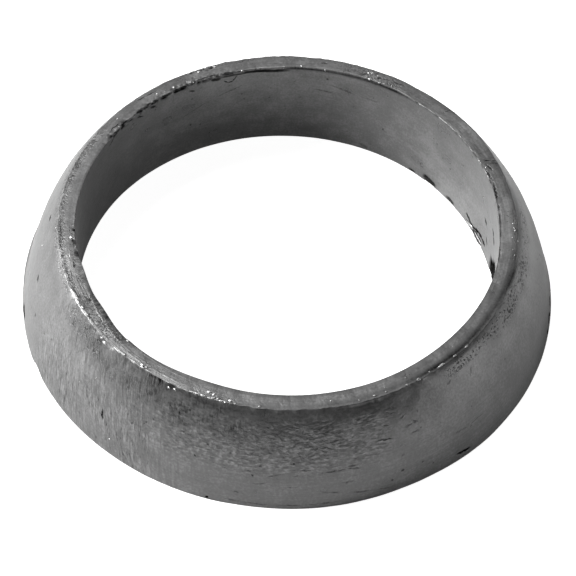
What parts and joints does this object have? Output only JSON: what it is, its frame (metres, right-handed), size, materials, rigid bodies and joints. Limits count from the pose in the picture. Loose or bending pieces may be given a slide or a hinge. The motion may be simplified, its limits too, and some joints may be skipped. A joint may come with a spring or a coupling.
{
  "type": "exhaust ring gasket",
  "caption": "Pressed graphite ring with a cylindrical bore, a flat base and a spherical outer seat that narrows to a thin land, worn and chipped at its rims.",
  "frame": {"origin": "centre of the flat base, in the plane of the base", "axes": "+Z along the bore, from the wide flat base towards the narrow land"},
  "size_m": [0.0698, 0.0698, 0.014],
  "materials": {
    "pressed_graphite": "dull grey graphite pressed into steel wire, satin, with bright metal flecks"
  },
  "bodies": {
    "root": {"gasket_ring": "pressed_graphite"}
  },
  "joints": []
}
